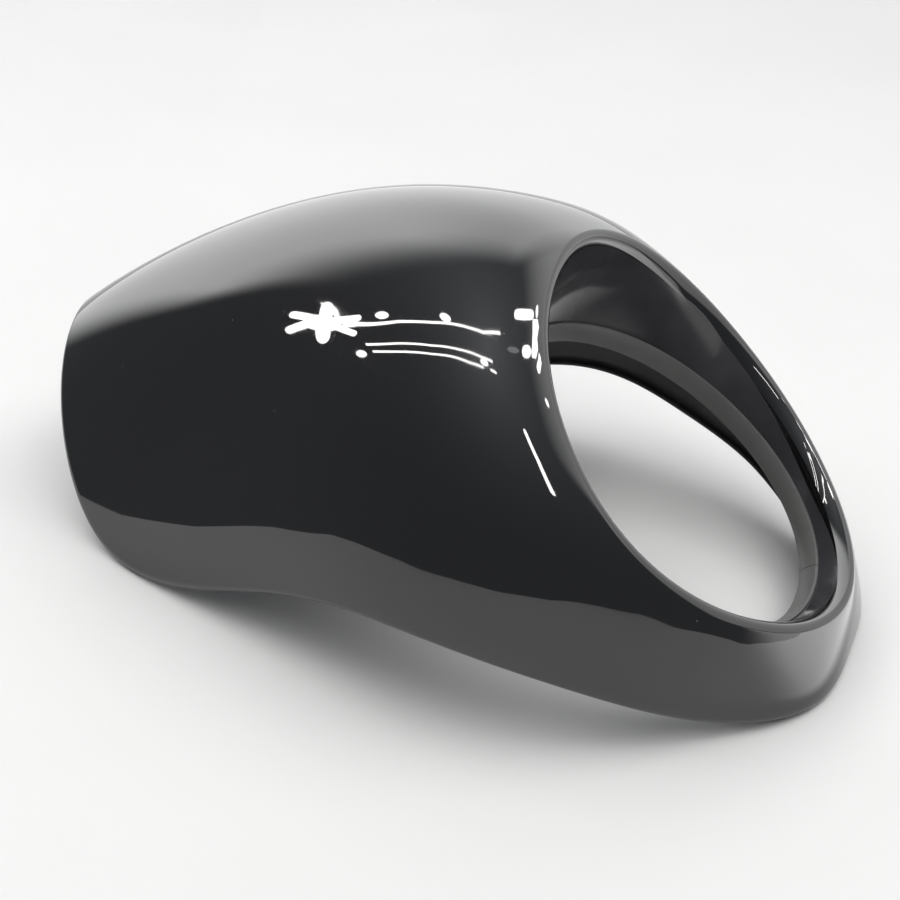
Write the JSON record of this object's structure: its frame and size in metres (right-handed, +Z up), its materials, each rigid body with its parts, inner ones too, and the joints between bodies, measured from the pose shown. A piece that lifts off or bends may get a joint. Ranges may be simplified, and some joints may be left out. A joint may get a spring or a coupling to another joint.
{
  "type": "headlight cowl",
  "caption": "Gloss black headlight cowl with a round lamp hole, a rubber edge trim, a deep tail hood and threaded bosses inside its side walls.",
  "frame": {"origin": "centre of the bounding box in plan, on the plane that the cowl stands on", "axes": "+X to the rider's left, -Y forward where the lamp looks, +Z up; the lamp axis points forward and up"},
  "size_m": [0.2892, 0.424, 0.1942],
  "materials": {
    "cowl_gloss": "polished black lacquer with fine scratches",
    "trim_rubber": "matt dark grey",
    "insert_brass": "machined"
  },
  "bodies": {
    "root": {"cowl_shell": "cowl_gloss", "edge_trim": "trim_rubber", "insert_front_left": "insert_brass", "insert_front_right": "insert_brass", "insert_rear_left": "insert_brass", "insert_rear_right": "insert_brass"}
  },
  "joints": []
}
